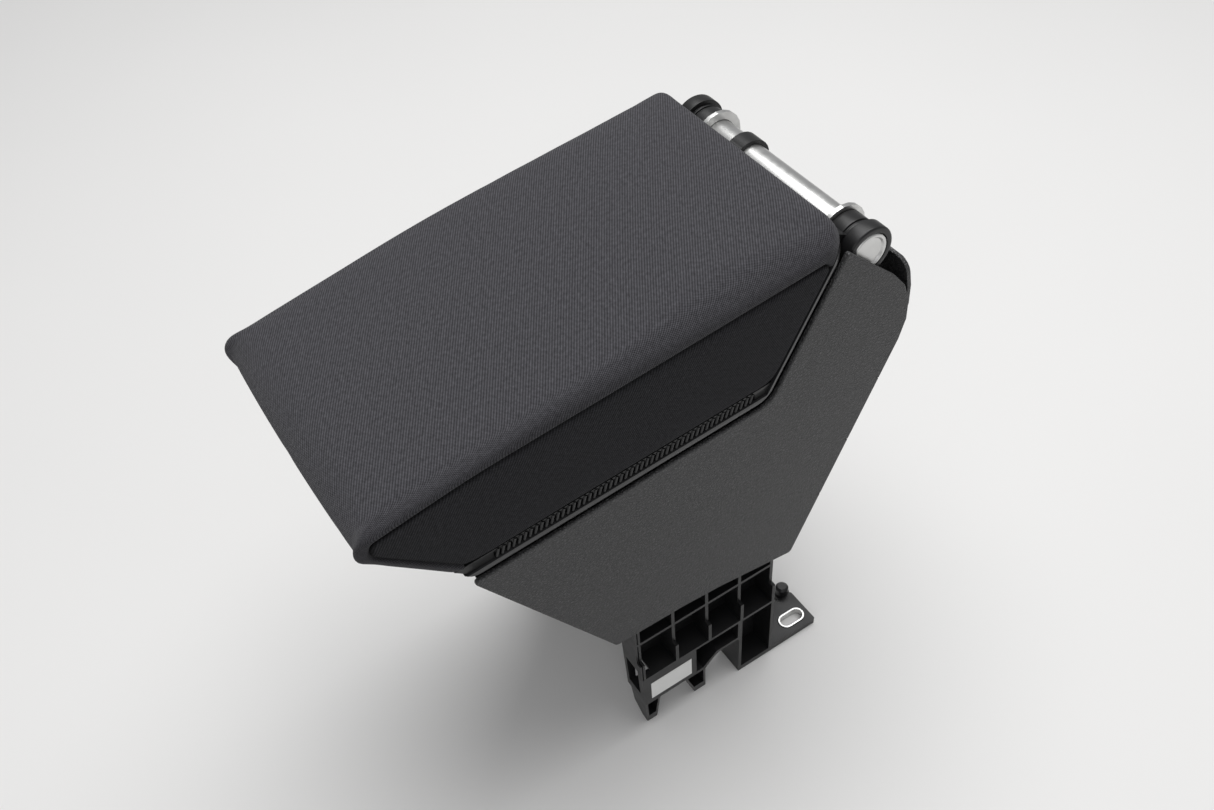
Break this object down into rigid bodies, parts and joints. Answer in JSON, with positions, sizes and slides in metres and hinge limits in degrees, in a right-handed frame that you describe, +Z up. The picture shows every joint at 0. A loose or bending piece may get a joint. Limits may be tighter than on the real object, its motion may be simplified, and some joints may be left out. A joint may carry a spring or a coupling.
{
  "type": "car armrest",
  "caption": "Fabric padded centre armrest: a lid hinged at the rear on a plastic storage base with ribbed feet and slotted bolting flanges.",
  "frame": {"origin": "bottom centre of the closed armrest's bounding box, on the surface that the flanges and feet stand on", "axes": "+X towards the hinge at the rear, with the nose of the lid at -X; +Y towards the right side; +Z up"},
  "size_m": [0.3246, 0.16, 0.3551],
  "materials": {
    "fabric": "matte",
    "foam": "matte",
    "black_plastic": "satin",
    "grained_plastic": "matte",
    "steel": "polished",
    "rubber": "matte",
    "label": "satin"
  },
  "bodies": {
    "base": {"frame_left": "black_plastic", "frame_right": "black_plastic", "bin": "black_plastic", "side_cover_left": "grained_plastic", "side_cover_right": "grained_plastic", "rear_cover": "grained_plastic", "front_cover": "grained_plastic", "hinge_bracket": "steel", "hinge_tube": "steel", "tube_cap_left": "steel", "tube_cap_right": "steel", "slot_sleeve_left": "steel", "slot_sleeve_right": "steel", "bin_screw_1": "steel", "bin_screw_2": "steel", "bin_screw_3": "steel", "bin_screw_4": "steel", "bracket_bolt_1": "steel", "bracket_bolt_2": "steel", "bracket_bolt_3": "steel", "bracket_bolt_4": "steel", "bump_stop_left": "rubber", "bump_stop_right": "rubber", "label": "label"},
    "lid": {"fabric_cover": "fabric", "foam_core": "foam", "lid_frame": "black_plastic", "lid_pan": "black_plastic", "lid_hinge_left": "black_plastic", "lid_hinge_right": "black_plastic", "lid_knuckle": "black_plastic", "lid_screw_1": "steel", "lid_screw_2": "steel", "lid_screw_3": "steel", "lid_screw_4": "steel", "hinge_screw_1": "steel", "hinge_screw_2": "steel", "hinge_screw_3": "steel", "hinge_screw_4": "steel"}
  },
  "joints": [
    {"name": "lid_hinge", "type": "hinge", "parent": "base", "child": "lid", "pos_m": [0.12945, 0, 0.3235], "axis": [0, 1, 0], "range_deg": [0, 95]}
  ]
}
